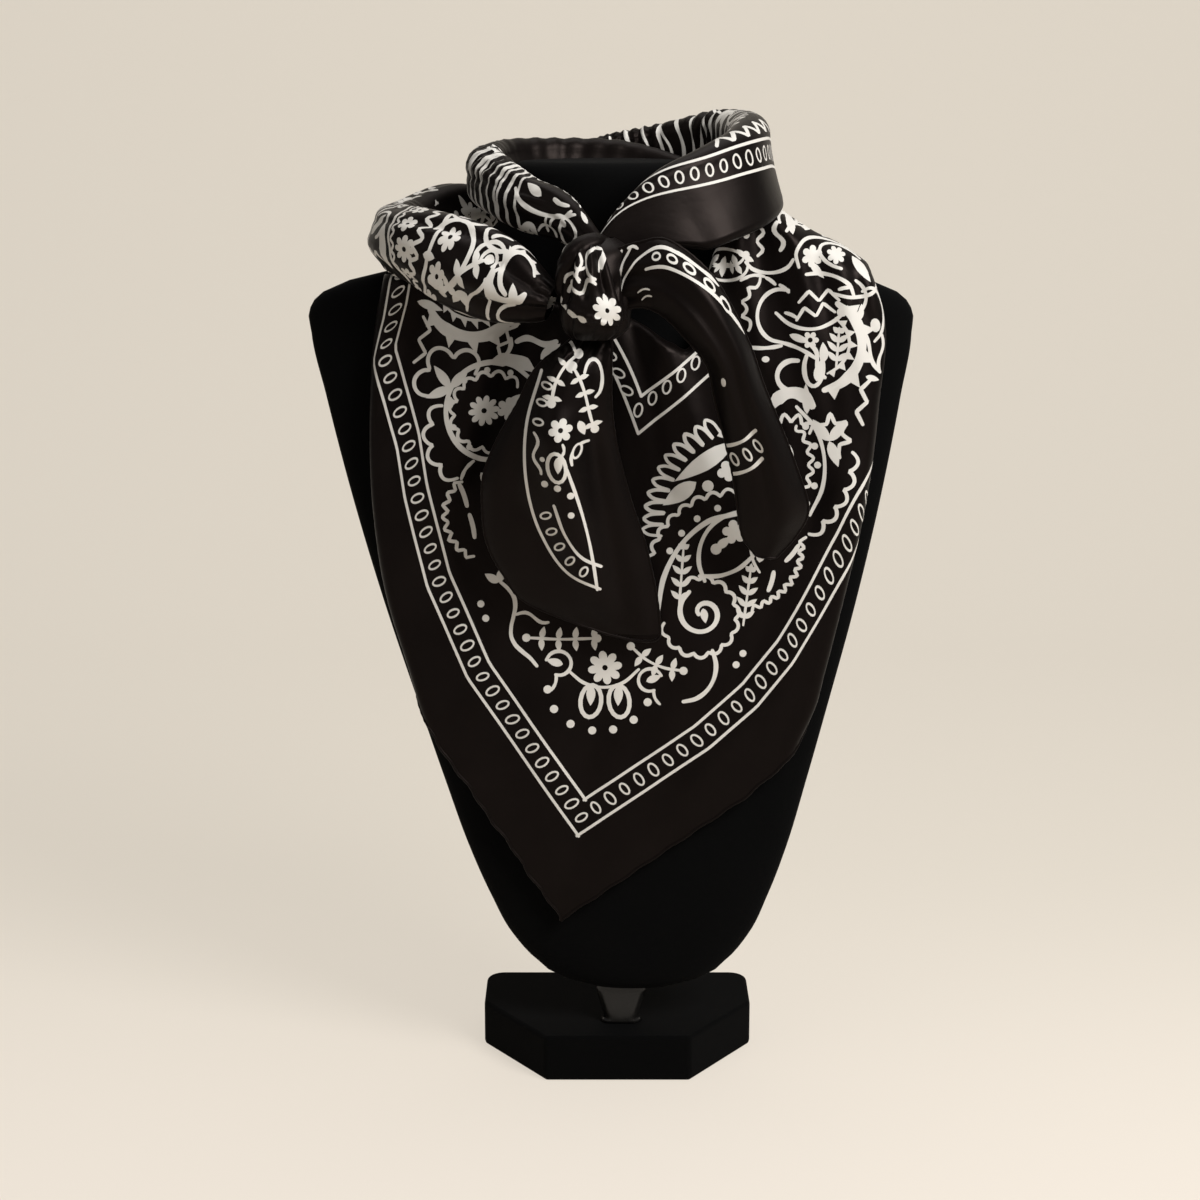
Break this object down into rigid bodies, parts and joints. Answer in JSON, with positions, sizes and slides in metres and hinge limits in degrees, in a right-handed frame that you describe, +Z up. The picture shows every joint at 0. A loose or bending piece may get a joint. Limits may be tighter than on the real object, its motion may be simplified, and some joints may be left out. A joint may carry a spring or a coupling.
{
  "type": "wild rag tied round a velvet display bust on a stand",
  "caption": "Square silk neckerchief folded to a point over a flat-backed velvet bust, its ends knotted in front, on a post and a cut-cornered base.",
  "frame": {"origin": "centre of the base's flat underside", "axes": "+Z up the bust, -Y out of the chest, +X to the viewer's right when facing the chest"},
  "size_m": [0.3144, 0.1814, 0.5118],
  "materials": {
    "printed_silk": "black silk twill with an off-white print",
    "velvet": "short-pile black velvet",
    "lacquer": "black semi-gloss lacquer"
  },
  "bodies": {
    "root": {"front_bib": "printed_silk", "neck_band": "printed_silk", "left_roll": "printed_silk", "right_collar": "printed_silk", "knot": "printed_silk", "left_tail": "printed_silk", "right_tail": "printed_silk", "display_bust": "velvet", "base": "velvet", "post": "lacquer"}
  },
  "joints": []
}
